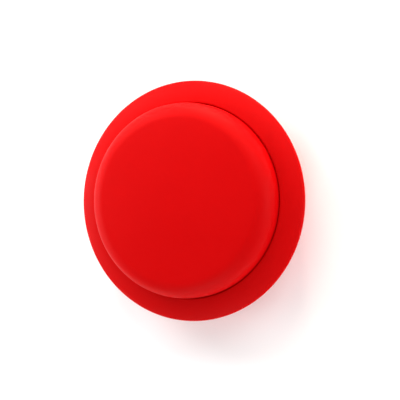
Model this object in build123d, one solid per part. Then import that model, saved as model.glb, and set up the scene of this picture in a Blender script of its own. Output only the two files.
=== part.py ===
# Quiz buzzer: a low round answer buzzer that lies on a table and is slapped with the palm.
#
# A wide domed button rises out of a sloping round bezel. Under the button are a chassis plate with three
# return springs and a rubber-dome switch on a circuit board. The bowl-shaped base holds a speaker that
# faces down through a grille, and two AAA cells behind a hinged door.
#
# Frame: +Z up, the way the button faces. The origin is on the table, in the middle of the base.
# All sizes are in millimetres.
from build123d import *

import math
import os

# ---- overall shape -------------------------------------------------------------------------------
rim_radius = 50.0        # widest circle of the bezel
rim_nose = 1.3           # radius of the rounded rim edge
brim_rise = 4.4          # the bezel's top edge above the rim circle
brim_edge_slope = 35.0   # slope of the brim where it meets the rounded rim, degrees

# ---- button cap ----------------------------------------------------------------------------------
cap_radius = 40.25       # outside of the cap's skirt
shoulder_rise = 14.65    # cap shoulder, before rounding, above the rim circle
crown_rise = 3.0         # how far the crown stands above that shoulder
shoulder_round = 8.0
cap_wall = 2.2
press_travel = 3.0
flange_reach = 1.2       # how far the retaining flange stands out of the skirt
flange_thickness = 1.4
plunger_radius = 3.2
rib_thickness = 1.4
rib_depth = 3.2
rib_count = 6
spring_seat_depth = 1.0  # seats that stand down from the inside of the cap

# ---- clearances ----------------------------------------------------------------------------------
cap_gap = 0.25           # cap to bezel lip, all round
flange_gap = 0.4         # cap flange to the bezel's well
seat_gap = 0.1           # flange to the underside of the lip, button up
deck_gap = 0.15          # chassis plate above the battery compartment
stop_gap = 0.2           # flange to the chassis plate, button down
parting_gap = 0.3        # shadow line between bezel and base
slip = 0.05              # pieces that are laid against each other
fit_gap = 0.2            # pieces that drop into a recess
thread_gap = 0.02        # screw shank in its pilot hole

# ---- bezel ---------------------------------------------------------------------------------------
lip_thickness = 2.2
lip_round = 0.6
well_wall = 1.6
groove_rise = 1.3        # roof of the groove under the brim, above the rim circle
rim_seat_width = 3.3     # flat ring under the rim, from the nose inwards
bezel_boss_radius = 2.3
boss_sink = 0.2          # how far the bosses run into the rim's inner wall
bezel_screw_room = 1.5   # pocket in the base under each bezel screw's head

# ---- chassis plate -------------------------------------------------------------------------------
deck_thickness = 1.6
collar_wall = 1.5
collar_height = 3.0
spring_pin_radius = 2.9
spring_pin_height = 3.0
chassis_boss_radius = 3.1
board_boss_radius = 2.2

# ---- base ----------------------------------------------------------------------------------------
foot_proud = 1.5
foot_sunk = 0.8
foot_width = 3.0
foot_margin = 2.0        # from the edge of the base's flat underside
foot_half_angle = 16.0
base_inset = 2.4         # top of the base inside the rim circle
base_taper = 7.0         # how much the base draws in towards its underside
base_bulge = 1.5         # how far the bowl's side bulges out of the straight line
base_wall = 2.2
floor_thickness = 2.4
spigot_thickness = 1.0
spigot_height = 1.3
ledge_depth = 1.4        # solid rim of the base under its top edge
base_edge_round = 1.0
counterbore_depth = 2.7
column_radius = 3.7
column_top = 9.0
column_front_x = 24.0
column_front_y = 24.0
column_side_x = 31.8
column_side_y = -13.0

# ---- fasteners: (shank radius, shank length, head radius, head height) -----------------------------
base_screw = (1.3, 9.0, 2.35, 1.7)
bezel_screw = (1.0, 5.0, 1.9, 1.3)
board_screw = (0.9, 3.2, 1.7, 1.1)
head_round = 0.4         # of the head's height
drive_reach = 0.55       # cross recess, of the head's radius
drive_width = 0.5
drive_depth = 0.6

# ---- cells and their compartment -------------------------------------------------------------------
cell_radius = 5.25
cell_length = 44.5
cell_edge_round = 0.5
nub_radius = 1.9
nub_length = 0.9
cell_gap = 0.3           # between the two cells and to the side walls
cell_lift = 0.35         # cells above the door
contact_spring_length = 3.4
contact_spring_radius = 2.8
contact_spring_wire = 0.5
contact_spring_turns = 3
contact_thickness = 0.4
box_wall = 1.8
box_roof = 1.0
box_end_y = -7.0         # inner face of the compartment wall nearest the middle
plate_half_width = 4.0   # contact plates
plate_half_height = 3.6
tab_half_width = 1.2     # solder tabs
tab_reach = 1.4
tab_heights = (11.0, 8.0)
door_thickness = 1.6
door_overlap = 1.3       # how far the door reaches past the compartment on three sides
door_hinge_reach = 3.8   # and on its hinged side
door_corner = 3.0
hinge_tab_x = 15.0       # middle of each hinge tab
hinge_tab_half_width = 3.0
hinge_tab_reach = 1.8
hinge_tab_thickness = 0.8
latch_half_width = 5.0
latch_reach = 1.0        # nose of the latch tongue past the door's edge
latch_slot = 0.9         # cuts that free the tongue
latch_length = 6.5
grip_lines = 3
grip_line_width = 0.6
grip_line_depth = 0.4
grip_pitch = 1.3
finger_radius = 7.0      # scoop that lets a fingertip reach the latch
finger_depth = 1.0

# ---- speaker -------------------------------------------------------------------------------------
speaker_y = 18.0
speaker_radius = 16.0
speaker_rim_width = 2.6
speaker_collar_wall = 1.3
gasket_thickness = 0.5
speaker_flange = 1.2
basket_height = 2.6
magnet_radius = 8.0
magnet_height = 2.2
magnet_chamfer = 0.3
basket_wall = 0.8
basket_lip = 2.2         # flat of the basket's flange
back_margin = 1.6        # basket's back plate past the magnet
cone_film = 0.3
cone_roll = 0.5          # height of the cone's surround
cone_roll_width = 2.4
cone_depth = 1.6
dust_cap_radius = 4.0
terminal_half_width = 3.0
terminal_depth = 3.0
terminal_thickness = 0.8
clamp_thickness = 1.0
clamp_ear_reach = 4.2
clamp_boss_radius = 2.3
clamp_hole_depth = 1.4   # pilot holes run this far into the base's floor
grille_hole_radius = 1.0
grille_rings = 3         # rings of 6, 12 and 18 holes round a middle one
grille_margin = 1.4

# ---- circuit board and switch ----------------------------------------------------------------------
board_thickness = 1.6
board_drop = 2.0         # top of the board below the chassis plate
board_half_width = 18.0
board_back_y = 22.0
dome_radius = 5.2
dome_hub_radius = 2.6
dome_wall = 0.6
dome_foot = 0.6
dome_room = 1.0          # chassis collar round the dome
hub_thickness = 1.4
board_corner = 1.5
blob_radius = 4.0        # epoxy over the sound chip
blob_height = 1.3
blob_y = 13.0
resistor_size = (2.0, 1.25, 0.6)
resistor_places = ((-11, 12), (-11, 8.5), (-11, 5), (11, 12), (11, 8.5), (11, 5))
pill_radius = 1.7
pill_thickness = 0.5

# ---- return springs --------------------------------------------------------------------------------
spring_margin = 13.25    # spring axes inside the cap's skirt
spring_angles = (90, 210, 330)
spring_mean_radius = 4.0
spring_wire = 0.7
spring_turns = 7.5
wire_radius = 0.6        # insulated lead wire

# ---- worked-out places: the stack from the table up -----------------------------------------------
base_bottom = foot_proud
floor_top = base_bottom + floor_thickness
cell_z = base_bottom + door_thickness + cell_lift + cell_radius
box_ceiling = cell_z + cell_radius + cell_gap
deck_bottom = box_ceiling + box_roof + deck_gap
deck_top = deck_bottom + deck_thickness
flange_bottom = deck_top + stop_gap + press_travel
flange_top = flange_bottom + flange_thickness
lip_under = flange_top + seat_gap
lip_top = lip_under + lip_thickness
rim_height = lip_top - brim_rise
base_top = rim_height - rim_nose - parting_gap
shoulder_z = rim_height + shoulder_rise
apex_z = shoulder_z + crown_rise
board_top = deck_bottom - board_drop
board_bottom = board_top - board_thickness
dome_top = board_top + press_travel + slip + pill_thickness + hub_thickness
plunger_end = dome_top + slip
spring_ring_radius = cap_radius - spring_margin
spring_low = deck_top
spring_high = apex_z - crown_rise * (spring_ring_radius / cap_radius) ** 2 - cap_wall - spring_seat_depth

# ---- worked-out places: from the middle out ----------------------------------------------------------
lip_bore = cap_radius + cap_gap
flange_radius = cap_radius + flange_reach
well_bore = flange_radius + flange_gap
well_outer = well_bore + well_wall
skirt_inner = cap_radius - cap_wall
crown_radius = (cap_radius**2 + crown_rise**2) / (2 * crown_rise)
crown_centre_z = apex_z - crown_radius
rim_seat_radius = rim_radius - rim_nose - rim_seat_width
bezel_boss_ring = rim_seat_radius - bezel_boss_radius + boss_sink
base_top_radius = rim_radius - base_inset
base_floor_radius = base_top_radius - base_taper
foot_outer = base_floor_radius - foot_margin
foot_inner = foot_outer - foot_width
collar_bore = dome_radius + dome_room
speaker_bore = speaker_radius - speaker_rim_width
grille_pitch = (speaker_bore - grille_margin) / grille_rings
box_half_length = (cell_length + contact_spring_length) / 2 + contact_thickness + slip
box_half_width = 2 * cell_radius + 1.5 * cell_gap / 2
box_far_y = box_end_y - 2 * box_half_width
box_mid_y = (box_end_y + box_far_y) / 2
cell_ys = (box_mid_y + cell_radius + cell_gap / 4, box_mid_y - cell_radius - cell_gap / 4)
door_hinge_y = box_end_y + door_hinge_reach
door_far_y = box_far_y - door_overlap
contact_face = box_half_length - slip - contact_thickness
cell_tip = contact_face - slip
column_places = (
    (column_front_x, column_front_y), (-column_front_x, column_front_y),
    (-column_side_x, column_side_y), (column_side_x, column_side_y),
)
board_front_y = box_end_y + box_wall + fit_gap
board_screw_places = [(x, y) for y in (19, -2.2) for x in (15, -15)]
clamp_places = ((speaker_radius + clamp_ear_reach, speaker_y), (-speaker_radius - clamp_ear_reach, speaker_y))
bezel_screw_angles = (0, 90, 180, 270)


# ---- helpers ---------------------------------------------------------------------------------------
def post(radius, low, high, x=0.0, y=0.0):
    """A round bar standing between two heights."""
    return Pos(x, y, low) * Cylinder(radius, high - low, align=(Align.CENTER, Align.CENTER, Align.MIN))


def block(x0, x1, y0, y1, z0, z1):
    """A square bar between three pairs of planes."""
    middle = Pos((x0 + x1) / 2, (y0 + y1) / 2, (z0 + z1) / 2)
    return middle * Box(x1 - x0, y1 - y0, z1 - z0)


def on_ring(radius, angle):
    """The point at that radius and angle, as (x, y)."""
    turn = math.radians(angle)
    return radius * math.cos(turn), radius * math.sin(turn)


def spin(profile):
    """A profile drawn as (radius, height), turned about the vertical axis."""
    return revolve(Plane.XZ * profile, Axis.Z)


def corner(profile, radius, height):
    """The profile's vertex nearest to that point."""
    return min(profile.vertices(), key=lambda v: (v.X - radius) ** 2 + (v.Y - height) ** 2)


def bulged(start, end, bulge):
    """An arc from start to end that stands out to its left by bulge."""
    run, rise = end[0] - start[0], end[1] - start[1]
    length = math.hypot(run, rise)
    middle = (
        (start[0] + end[0]) / 2 - rise / length * bulge,
        (start[1] + end[1]) / 2 + run / length * bulge,
    )
    return ThreePointArc(start, middle, end)


def crown_height(radius, inset=0.0):
    """Height of the cap's crown at that radius, or of the surface that far under it."""
    return crown_centre_z + math.sqrt((crown_radius - inset) ** 2 - radius**2)


def crown_arc(radius, inset=0.0):
    """The crown's line from the middle out to that radius."""
    start = (0, crown_height(0, inset))
    middle = (radius / 2, crown_height(radius / 2, inset))
    return ThreePointArc(start, middle, (radius, crown_height(radius, inset)))


def bowl_radius(height):
    """Outside radius of the base at that height."""
    run, rise = base_top_radius - base_floor_radius, base_top - base_bottom
    chord = math.hypot(run, rise)
    arc = (chord**2 / 4 + base_bulge**2) / (2 * base_bulge)
    middle_r, middle_z = (base_top_radius + base_floor_radius) / 2, (base_top + base_bottom) / 2
    centre_r = middle_r - rise / chord * (arc - base_bulge)
    centre_z = middle_z + run / chord * (arc - base_bulge)
    return centre_r + math.sqrt(arc**2 - (height - centre_z) ** 2)


def bowl_arc(low, high, inset=0.0):
    """The base's side line between two heights, moved in by inset."""
    heights = (low, (low + high) / 2, high)
    return ThreePointArc(*[(bowl_radius(z) - inset, z) for z in heights])


def screw(sizes, x, y, seat, upward=True):
    """A pan-head screw whose head bears at the height seat, with its shank pointing up or down."""
    shank_radius, shank_length, head_radius, head_height = sizes
    body = post(shank_radius, 0, shank_length) + post(head_radius, -head_height, 0)
    head_edge = body.edges().filter_by(GeomType.CIRCLE).sort_by(Axis.Z)[0]
    body = fillet(head_edge, head_height * head_round)
    for turn in (0, 90):
        half = head_radius * drive_reach
        slot = block(-half, half, -drive_width / 2, drive_width / 2, -head_height, -head_height + drive_depth)
        body -= Rot(0, 0, turn) * slot
    facing = Rot(0 if upward else 180, 0, 0)
    return Pos(x, y, seat) * facing * body


def together(shapes):
    """Several solids as one compound."""
    return Compound(children=list(shapes))


def lead(points, bends):
    """An insulated wire along straight runs joined by arcs."""
    path = FilletPolyline(*points, radius=bends)
    return sweep(Plane(path @ 0, z_dir=path % 0) * Circle(wire_radius), path=path)


def coil(mean_radius, wire, low, high, turns):
    """A plain helical spring standing between two heights."""
    height = high - low - wire
    path = Helix(pitch=height / turns, height=height, radius=mean_radius)
    section = Plane(path @ 0, z_dir=path % 0) * Circle(wire / 2)
    return Pos(0, 0, low + wire / 2) * sweep(section, path=path, is_frenet=True)


# ---- button ----------------------------------------------------------------------------------------
def button_cap():
    outer_corner = (cap_radius, crown_height(cap_radius))
    inner_corner = (skirt_inner, crown_height(skirt_inner, cap_wall))
    profile = make_face(
        crown_arc(cap_radius)
        + Polyline(
            outer_corner,
            (cap_radius, flange_top),
            (flange_radius, flange_top),
            (flange_radius, flange_bottom),
            (skirt_inner, flange_bottom),
            inner_corner,
        )
        + crown_arc(skirt_inner, cap_wall)
        + Line((0, crown_height(0, cap_wall)), (0, apex_z))
    )
    profile = fillet(corner(profile, *outer_corner), shoulder_round)
    profile = fillet(corner(profile, *inner_corner), shoulder_round - cap_wall)
    cap = spin(profile)
    half = cap_wall / 2
    middle_corner = (cap_radius - half, crown_height(cap_radius - half, half))
    room = make_face(
        crown_arc(cap_radius - half, half)
        + Polyline(middle_corner, (cap_radius - half, flange_bottom), (0, flange_bottom),
                   (0, crown_height(0, half)))
    )
    room = spin(fillet(corner(room, *middle_corner), shoulder_round - half))
    inside = post(plunger_radius, plunger_end, apex_z)
    rib_bottom = crown_height(skirt_inner, cap_wall) - rib_depth
    for n in range(rib_count):
        rib = block(0, skirt_inner, -rib_thickness / 2, rib_thickness / 2, rib_bottom, apex_z)
        inside += Rot(0, 0, n * 360 / rib_count) * rib
    for angle in spring_angles:
        x, y = on_ring(spring_ring_radius, angle)
        inside += post(spring_mean_radius + spring_wire, spring_high, apex_z, x, y)
        inside += post(spring_pin_radius, spring_high - spring_pin_height, apex_z, x, y)
    cap += inside & room
    for angle in bezel_screw_angles:
        x, y = on_ring(bezel_boss_ring, angle)
        cap -= post(bezel_boss_radius + flange_gap, flange_bottom, flange_top, x, y)
    return cap


def bezel_ring():
    nose_turn = math.radians(brim_edge_slope)
    nose_r = rim_radius - rim_nose
    nose_start = (nose_r + rim_nose * math.sin(nose_turn), rim_height + rim_nose * math.cos(nose_turn))
    lip_edge = (lip_bore, lip_top)
    run, drop = nose_start[0] - lip_edge[0], lip_edge[1] - nose_start[1]
    bend = nose_turn - math.atan2(drop, run)
    bulge = math.hypot(run, drop) / 2 * math.tan(bend / 2)
    profile = make_face(
        bulged(lip_edge, nose_start, bulge)
        + ThreePointArc(nose_start, (rim_radius, rim_height), (nose_r, rim_height - rim_nose))
        + Polyline(
            (nose_r, rim_height - rim_nose),
            (rim_seat_radius, rim_height - rim_nose),
            (rim_seat_radius, rim_height + groove_rise),
            (well_outer, rim_height + groove_rise),
            (well_outer, deck_top),
            (well_bore, deck_top),
            (well_bore, lip_under),
            (lip_bore, lip_under),
            lip_edge,
        )
    )
    profile = fillet(corner(profile, *lip_edge), lip_round)
    ring = spin(profile)
    boss_top = lip_under + fit_gap
    for angle in bezel_screw_angles:
        x, y = on_ring(bezel_boss_ring, angle)
        ring += post(bezel_boss_radius, deck_top, boss_top, x, y)
        ring -= post(bezel_screw[0] + thread_gap, deck_top, boss_top, x, y)
    return ring


# ---- chassis, switch and springs ---------------------------------------------------------------------
def chassis_plate():
    plate = post(well_outer, deck_bottom, deck_top)
    plate += post(collar_bore + collar_wall, deck_top, deck_top + collar_height)
    for angle in bezel_screw_angles:
        x, y = on_ring(bezel_boss_ring, angle)
        plate += post(bezel_boss_radius, deck_bottom, deck_top, x, y)
        plate += Rot(0, 0, angle) * block(collar_bore, bezel_boss_ring, -bezel_boss_radius,
                                          bezel_boss_radius, deck_bottom, deck_top)
        plate -= post(bezel_screw[0] + slip, deck_bottom, deck_top, x, y)
    for angle in spring_angles:
        x, y = on_ring(spring_ring_radius, angle)
        plate += post(spring_pin_radius, deck_top, deck_top + spring_pin_height, x, y)
    for x, y in column_places:
        plate += post(chassis_boss_radius, column_top + slip, deck_bottom, x, y)
        plate -= post(base_screw[0] + thread_gap, column_top + slip, deck_bottom + slip, x, y)
    for x, y in board_screw_places:
        plate += post(board_boss_radius, board_top + slip, deck_bottom, x, y)
        plate -= post(board_screw[0] + thread_gap, board_top + slip, deck_bottom + slip, x, y)
    return plate - post(collar_bore, deck_bottom, deck_top + collar_height)


def return_spring(angle):
    x, y = on_ring(spring_ring_radius, angle)
    return Pos(x, y, 0) * coil(spring_mean_radius, spring_wire, spring_low, spring_high, spring_turns)


def switch_dome():
    hub_low = dome_top - hub_thickness
    return spin(make_face(Polyline(
        (0, dome_top),
        (dome_hub_radius, dome_top),
        (dome_hub_radius, hub_low),
        (dome_radius - dome_wall, board_top + dome_foot),
        (dome_radius, board_top + dome_foot),
        (dome_radius, board_top),
        (dome_radius - 3 * dome_wall, board_top),
        (dome_hub_radius - dome_wall, hub_low),
        (0, hub_low),
        (0, dome_top),
    )))


def contact_pill():
    high = dome_top - hub_thickness
    return post(pill_radius, high - pill_thickness, high)


def circuit_board():
    board = block(-board_half_width, board_half_width, board_front_y, board_back_y, board_bottom, board_top)
    board = fillet(board.edges().filter_by(Axis.Z), board_corner)
    for x, y in board_screw_places:
        board -= post(board_screw[0] + slip, board_bottom, board_top, x, y)
    return board


def sound_chip():
    """A domed blob of epoxy over the chip."""
    ball = (blob_radius**2 + blob_height**2) / (2 * blob_height)
    cut = post(blob_radius, board_top, board_top + blob_height, 0, blob_y)
    return cut & (Pos(0, blob_y, board_top + blob_height - ball) * Sphere(ball))


def chip_resistors():
    length, width, height = resistor_size
    return together(
        block(x - length / 2, x + length / 2, y - width / 2, y + width / 2, board_top, board_top + height)
        for x, y in resistor_places
    )


# ---- speaker -----------------------------------------------------------------------------------------
def speaker_gasket():
    low, high = floor_top, floor_top + gasket_thickness
    return post(speaker_radius, low, high, 0, speaker_y) - post(speaker_bore, low, high, 0, speaker_y)


def speaker_frame():
    low = floor_top + gasket_thickness
    flange = low + speaker_flange
    back = flange + basket_height
    profile = make_face(Polyline(
        (speaker_radius, low),
        (speaker_radius, flange),
        (speaker_radius - basket_lip, flange),
        (magnet_radius + back_margin, back),
        (0, back),
        (0, back - basket_wall),
        (magnet_radius + back_margin - basket_wall, back - basket_wall),
        (speaker_bore, flange - basket_wall),
        (speaker_bore, low),
        (speaker_radius, low),
    ))
    return Pos(0, speaker_y, 0) * spin(profile)


def speaker_magnet():
    low = floor_top + gasket_thickness + speaker_flange + basket_height
    magnet = post(magnet_radius, low, low + magnet_height, 0, speaker_y)
    return chamfer(magnet.edges().filter_by(GeomType.CIRCLE).sort_by(Axis.Z)[-1], magnet_chamfer)


def speaker_cone():
    low = floor_top + gasket_thickness
    edge = speaker_bore - slip
    surface = (
        (edge, low),
        (edge - cone_roll_width / 2, low + cone_roll),
        (edge - cone_roll_width, low),
        (dust_cap_radius, low + cone_depth),
        (0, low + cone_depth - cone_roll),
    )
    back = [(r, z + cone_film) for r, z in reversed(surface)]
    profile = make_face(Polyline(*surface, *back, surface[0]))
    return Pos(0, speaker_y, 0) * spin(profile)


def speaker_clamp():
    low = floor_top + gasket_thickness + speaker_flange
    high = low + clamp_thickness
    ring = post(speaker_radius, low, high, 0, speaker_y)
    for x, y in clamp_places:
        inner = math.copysign(speaker_radius - basket_lip, x)
        ring += block(min(inner, x), max(inner, x), y - clamp_boss_radius, y + clamp_boss_radius, low, high)
        ring += post(clamp_boss_radius, low, high, x, y)
        ring -= post(board_screw[0] + slip, low, high, x, y)
    return ring - post(speaker_radius - basket_lip, low, high, 0, speaker_y)


def speaker_terminal():
    back = floor_top + gasket_thickness + speaker_flange + basket_height
    far = speaker_y - magnet_radius - fit_gap
    return block(-terminal_half_width, terminal_half_width, far - terminal_depth, far, back,
                 back + terminal_thickness)


# ---- base --------------------------------------------------------------------------------------------
def door_outline(grow=0.0):
    """The door's outline, grown for its recess: square at the hinge, rounded at the free corners."""
    width = 2 * (box_half_length + door_overlap + grow)
    depth = door_hinge_y - door_far_y + 2 * grow
    middle = Pos(0, (door_hinge_y + door_far_y) / 2)
    outline = middle * Rectangle(width, depth)
    outline = fillet(outline.vertices().sort_by(Axis.Y)[:2], door_corner)
    nose = Rectangle(2 * (latch_half_width + grow), 2 * (latch_reach + grow))
    return outline + Pos(0, door_far_y) * nose


def hinge_tabs():
    """Two tongues past the door's hinged edge, which hook over the floor of the base."""
    low = base_bottom + door_thickness - hinge_tab_thickness
    high = base_bottom + door_thickness
    tabs = [
        block(x - hinge_tab_half_width, x + hinge_tab_half_width,
              door_hinge_y - hinge_tab_reach, door_hinge_y + hinge_tab_reach, low, high)
        for x in (hinge_tab_x, -hinge_tab_x)
    ]
    return tabs[0] + tabs[1]


def foot(angle, grow=0.0):
    """A curved rubber strip under the base, or the recess it is glued into where grow isn't 0."""
    low = 0 if grow == 0 else base_bottom
    high = base_bottom + foot_sunk
    ring = post(foot_outer + grow, low, high) - post(foot_inner - grow, low, high)
    half = foot_half_angle + math.degrees(grow / foot_outer)
    reach = 2 * foot_outer
    left = Rot(0, 0, angle - half) * block(-reach, reach, 0, reach, low, high)
    right = Rot(0, 0, angle + half) * block(-reach, reach, -reach, 0, low, high)
    return ring & left & right


def base_tub():
    spigot_outer = rim_seat_radius - fit_gap
    spigot_inner = spigot_outer - spigot_thickness
    ledge = base_top - ledge_depth
    outer = (
        bowl_arc(base_bottom, base_top)
        + Polyline((base_top_radius, base_top), (spigot_outer, base_top),
                   (spigot_outer, base_top + spigot_height), (spigot_inner, base_top + spigot_height))
    )
    profile = make_face(
        outer
        + Polyline((spigot_inner, base_top + spigot_height), (spigot_inner, ledge + ledge_depth / 2),
                   (bowl_radius(ledge) - base_wall, ledge))
        + bowl_arc(floor_top, ledge, base_wall)
        + Polyline((bowl_radius(floor_top) - base_wall, floor_top), (0, floor_top), (0, base_bottom),
                   (base_floor_radius, base_bottom))
    )
    profile = fillet(corner(profile, base_floor_radius, base_bottom), base_edge_round)
    tub = spin(profile)
    bowl = spin(make_face(
        bowl_arc(base_bottom, base_top)
        + Polyline((base_top_radius, base_top), (0, base_top), (0, base_bottom),
                   (base_floor_radius, base_bottom))
    ))

    box_x = box_half_length + box_wall
    inside = block(-box_x, box_x, box_far_y - box_wall, box_end_y + box_wall, floor_top - slip,
                   box_ceiling + box_roof)
    for x, y in column_places:
        inside += post(column_radius, floor_top - slip, column_top, x, y)
    collar_radius = speaker_radius + fit_gap
    collar_top = floor_top + gasket_thickness + speaker_flange - slip
    inside += (
        post(collar_radius + speaker_collar_wall, floor_top - slip, collar_top, 0, speaker_y)
        - post(collar_radius, floor_top - slip, collar_top, 0, speaker_y)
    )
    for x, y in clamp_places:
        inside += post(clamp_boss_radius, floor_top - slip, collar_top, x, y)
    tub += inside & bowl

    tub -= block(-box_half_length, box_half_length, box_far_y, box_end_y, base_bottom, box_ceiling)
    tub -= Pos(0, 0, base_bottom) * extrude(door_outline(fit_gap), door_thickness + slip)
    for x, y in column_places:
        tub -= post(base_screw[0] + slip, base_bottom, column_top, x, y)
        tub -= post(base_screw[2] + fit_gap, base_bottom, base_bottom + counterbore_depth, x, y)
    sweep_room = hinge_tab_reach + fit_gap
    pocket_low = base_bottom + door_thickness - hinge_tab_thickness - slip
    for x in (hinge_tab_x, -hinge_tab_x):
        half = hinge_tab_half_width + fit_gap
        tub -= block(x - half, x + half, door_hinge_y - sweep_room, door_hinge_y + sweep_room,
                     pocket_low, floor_top)
    scoop = Pos(0, door_far_y - latch_reach, base_bottom - finger_radius + finger_depth)
    tub -= scoop * Cylinder(finger_radius, 2 * latch_half_width, rotation=(0, 90, 0))
    for x, y in clamp_places:
        tub -= post(board_screw[0] + thread_gap, floor_top - clamp_hole_depth, collar_top, x, y)
    pocket_floor = deck_bottom - bezel_screw_room
    for angle in bezel_screw_angles:
        x, y = on_ring(bezel_boss_ring, angle)
        tub -= post(bezel_boss_radius + fit_gap, pocket_floor, base_top + spigot_height, x, y)
    for ring in range(grille_rings + 1):
        for n in range(max(1, 6 * ring)):
            x, y = on_ring(ring * grille_pitch, n * 60 / max(1, ring))
            tub -= post(grille_hole_radius, base_bottom, floor_top, x, speaker_y + y)
    for angle in (0, 90, 180, 270):
        tub -= foot(angle, slip)
    for y, z in zip(cell_ys, tab_heights):
        tub -= block(box_half_length - slip, box_x + slip, y - tab_half_width - slip,
                     y + tab_half_width + slip, z - slip, z + contact_thickness + slip)
    return tub


def battery_door():
    door = Pos(0, 0, base_bottom) * extrude(door_outline(), door_thickness)
    door += hinge_tabs()
    low, high = base_bottom, base_bottom + door_thickness
    root_y = door_far_y + latch_length
    for side in (-1, 1):
        near, far = side * latch_half_width, side * (latch_half_width - latch_slot)
        door -= block(min(near, far), max(near, far), door_far_y - latch_reach, root_y, low, high)
    for n in range(grip_lines):
        y = door_far_y + (n + 1) * grip_pitch
        half = latch_half_width - 2 * latch_slot
        door -= block(-half, half, y, y + grip_line_width, low, low + grip_line_depth)
    return door


# ---- cells and contacts --------------------------------------------------------------------------------
def cell(index):
    """An AAA cell lying along X; the first points +X and the second points -X."""
    can_length = cell_length - nub_length
    body = Pos(cell_tip - nub_length - can_length / 2, 0, 0) * Cylinder(
        cell_radius, can_length, rotation=(0, 90, 0))
    body = fillet(body.edges().filter_by(GeomType.CIRCLE), cell_edge_round)
    nub = Pos(cell_tip - nub_length / 2, 0, 0) * Cylinder(nub_radius, nub_length, rotation=(0, 90, 0))
    turned = Rot(0, 0, 180 * index) * (body + nub)
    return Pos(0, cell_ys[index], cell_z) * turned


def contact_bridge():
    """One plate at the far end that joins the two cells."""
    return block(-contact_face - contact_thickness, -contact_face,
                 cell_ys[1] - plate_half_width, cell_ys[0] + plate_half_width,
                 cell_z - plate_half_height, cell_z + plate_half_height)


def contact_plate(index):
    """A single plate with a solder tab that passes out through the compartment wall."""
    y, low = cell_ys[index], tab_heights[index]
    outer = contact_face + contact_thickness
    plate = block(contact_face, outer, y - plate_half_width, y + plate_half_width,
                  cell_z - plate_half_height, cell_z + plate_half_height)
    tab = block(contact_face, outer + box_wall + tab_reach, y - tab_half_width, y + tab_half_width,
                low, low + contact_thickness)
    return plate + tab


def contact_spring(index):
    """The spring under a cell's flat end."""
    length = 2 * cell_tip - cell_length - slip
    spring = coil(contact_spring_radius, contact_spring_wire, 0, length, contact_spring_turns)
    side = -1 if index == 0 else 1
    return Pos(side * cell_tip, cell_ys[index], cell_z) * Rot(0, -90 * side, 0) * spring


# ---- lead wires ------------------------------------------------------------------------------------------
def battery_lead(index):
    """From a contact's solder tab round the corner of the compartment to the underside of the board."""
    beside = box_half_length + box_wall + wire_radius + fit_gap
    start_z = tab_heights[index] + contact_thickness + wire_radius + slip
    end_z = board_bottom - wire_radius - slip
    corner_y = box_end_y + box_wall + 2.6 + 3.4 * index
    edge = board_half_width
    return lead((
        (beside, cell_ys[index], start_z),
        (beside, corner_y, start_z),
        (edge + 3.5, corner_y + 3.4, end_z),
        (edge - 2.0, corner_y + 4.0, end_z),
        (edge - 5.0, corner_y + 3.8, end_z),
    ), (2.4, 2.0, 2.0))


def speaker_lead(index):
    """From the speaker's terminal board up to the underside of the circuit board."""
    terminal_top = floor_top + gasket_thickness + speaker_flange + basket_height + terminal_thickness
    low = terminal_top + wire_radius + slip
    high = board_bottom - wire_radius - slip
    side = 2 * index - 1
    start_y = speaker_y - magnet_radius - fit_gap - terminal_depth / 2
    return lead((
        (side * 1.6, start_y, low),
        (side * 1.6, start_y - 3.0, low),
        (side * 3.2, start_y - 6.0, (low + high) / 2),
        (side * 3.6, start_y - 9.0, high),
        (side * 3.4, start_y - 11.0, high),
    ), (2.4, 2.4, 2.0))


# ---- every piece -------------------------------------------------------------------------------------------
def screws_at(sizes, places, seat):
    return together(screw(sizes, x, y, seat) for x, y in places)


pieces = {
    "button_cap": button_cap(),
    "bezel_ring": bezel_ring(),
    "chassis_plate": chassis_plate(),
    "base_tub": base_tub(),
    "battery_door": battery_door(),
    "switch_dome": switch_dome(),
    "contact_pill": contact_pill(),
    "circuit_board": circuit_board(),
    "sound_chip": sound_chip(),
    "chip_resistors": chip_resistors(),
    "speaker_gasket": speaker_gasket(),
    "speaker_frame": speaker_frame(),
    "speaker_magnet": speaker_magnet(),
    "speaker_cone": speaker_cone(),
    "speaker_clamp": speaker_clamp(),
    "speaker_terminal": speaker_terminal(),
    "contact_bridge": contact_bridge(),
    "contact_positive": contact_plate(0),
    "contact_negative": contact_plate(1),
    "bezel_screws": screws_at(
        bezel_screw, [on_ring(bezel_boss_ring, a) for a in bezel_screw_angles], deck_bottom),
    "base_screws": screws_at(base_screw, column_places, base_bottom + counterbore_depth),
    "board_screws": screws_at(board_screw, board_screw_places, board_bottom),
    "clamp_screws": together(
        screw(board_screw, x, y, floor_top + gasket_thickness + speaker_flange + clamp_thickness, False)
        for x, y in clamp_places
    ),
    "battery_lead_red": battery_lead(0),
    "battery_lead_black": battery_lead(1),
    "speaker_lead_red": speaker_lead(0),
    "speaker_lead_black": speaker_lead(1),
}
for number, angle in enumerate(spring_angles, 1):
    pieces[f"return_spring_{number}"] = return_spring(angle)
for number in (1, 2):
    pieces[f"battery_{number}"] = cell(number - 1)
    pieces[f"contact_spring_{number}"] = contact_spring(number - 1)
for number, angle in enumerate((0, 90, 180, 270), 1):
    pieces[f"rubber_foot_{number}"] = foot(angle)

os.makedirs("parts", exist_ok=True)
for name, shape in pieces.items():
    export_step(shape, f"parts/{name}.step")
print(f"{len(pieces)} pieces, {apex_z:.2f} mm high")
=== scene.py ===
import math

import bmesh
import bpy
from mathutils import Matrix, Vector


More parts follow.
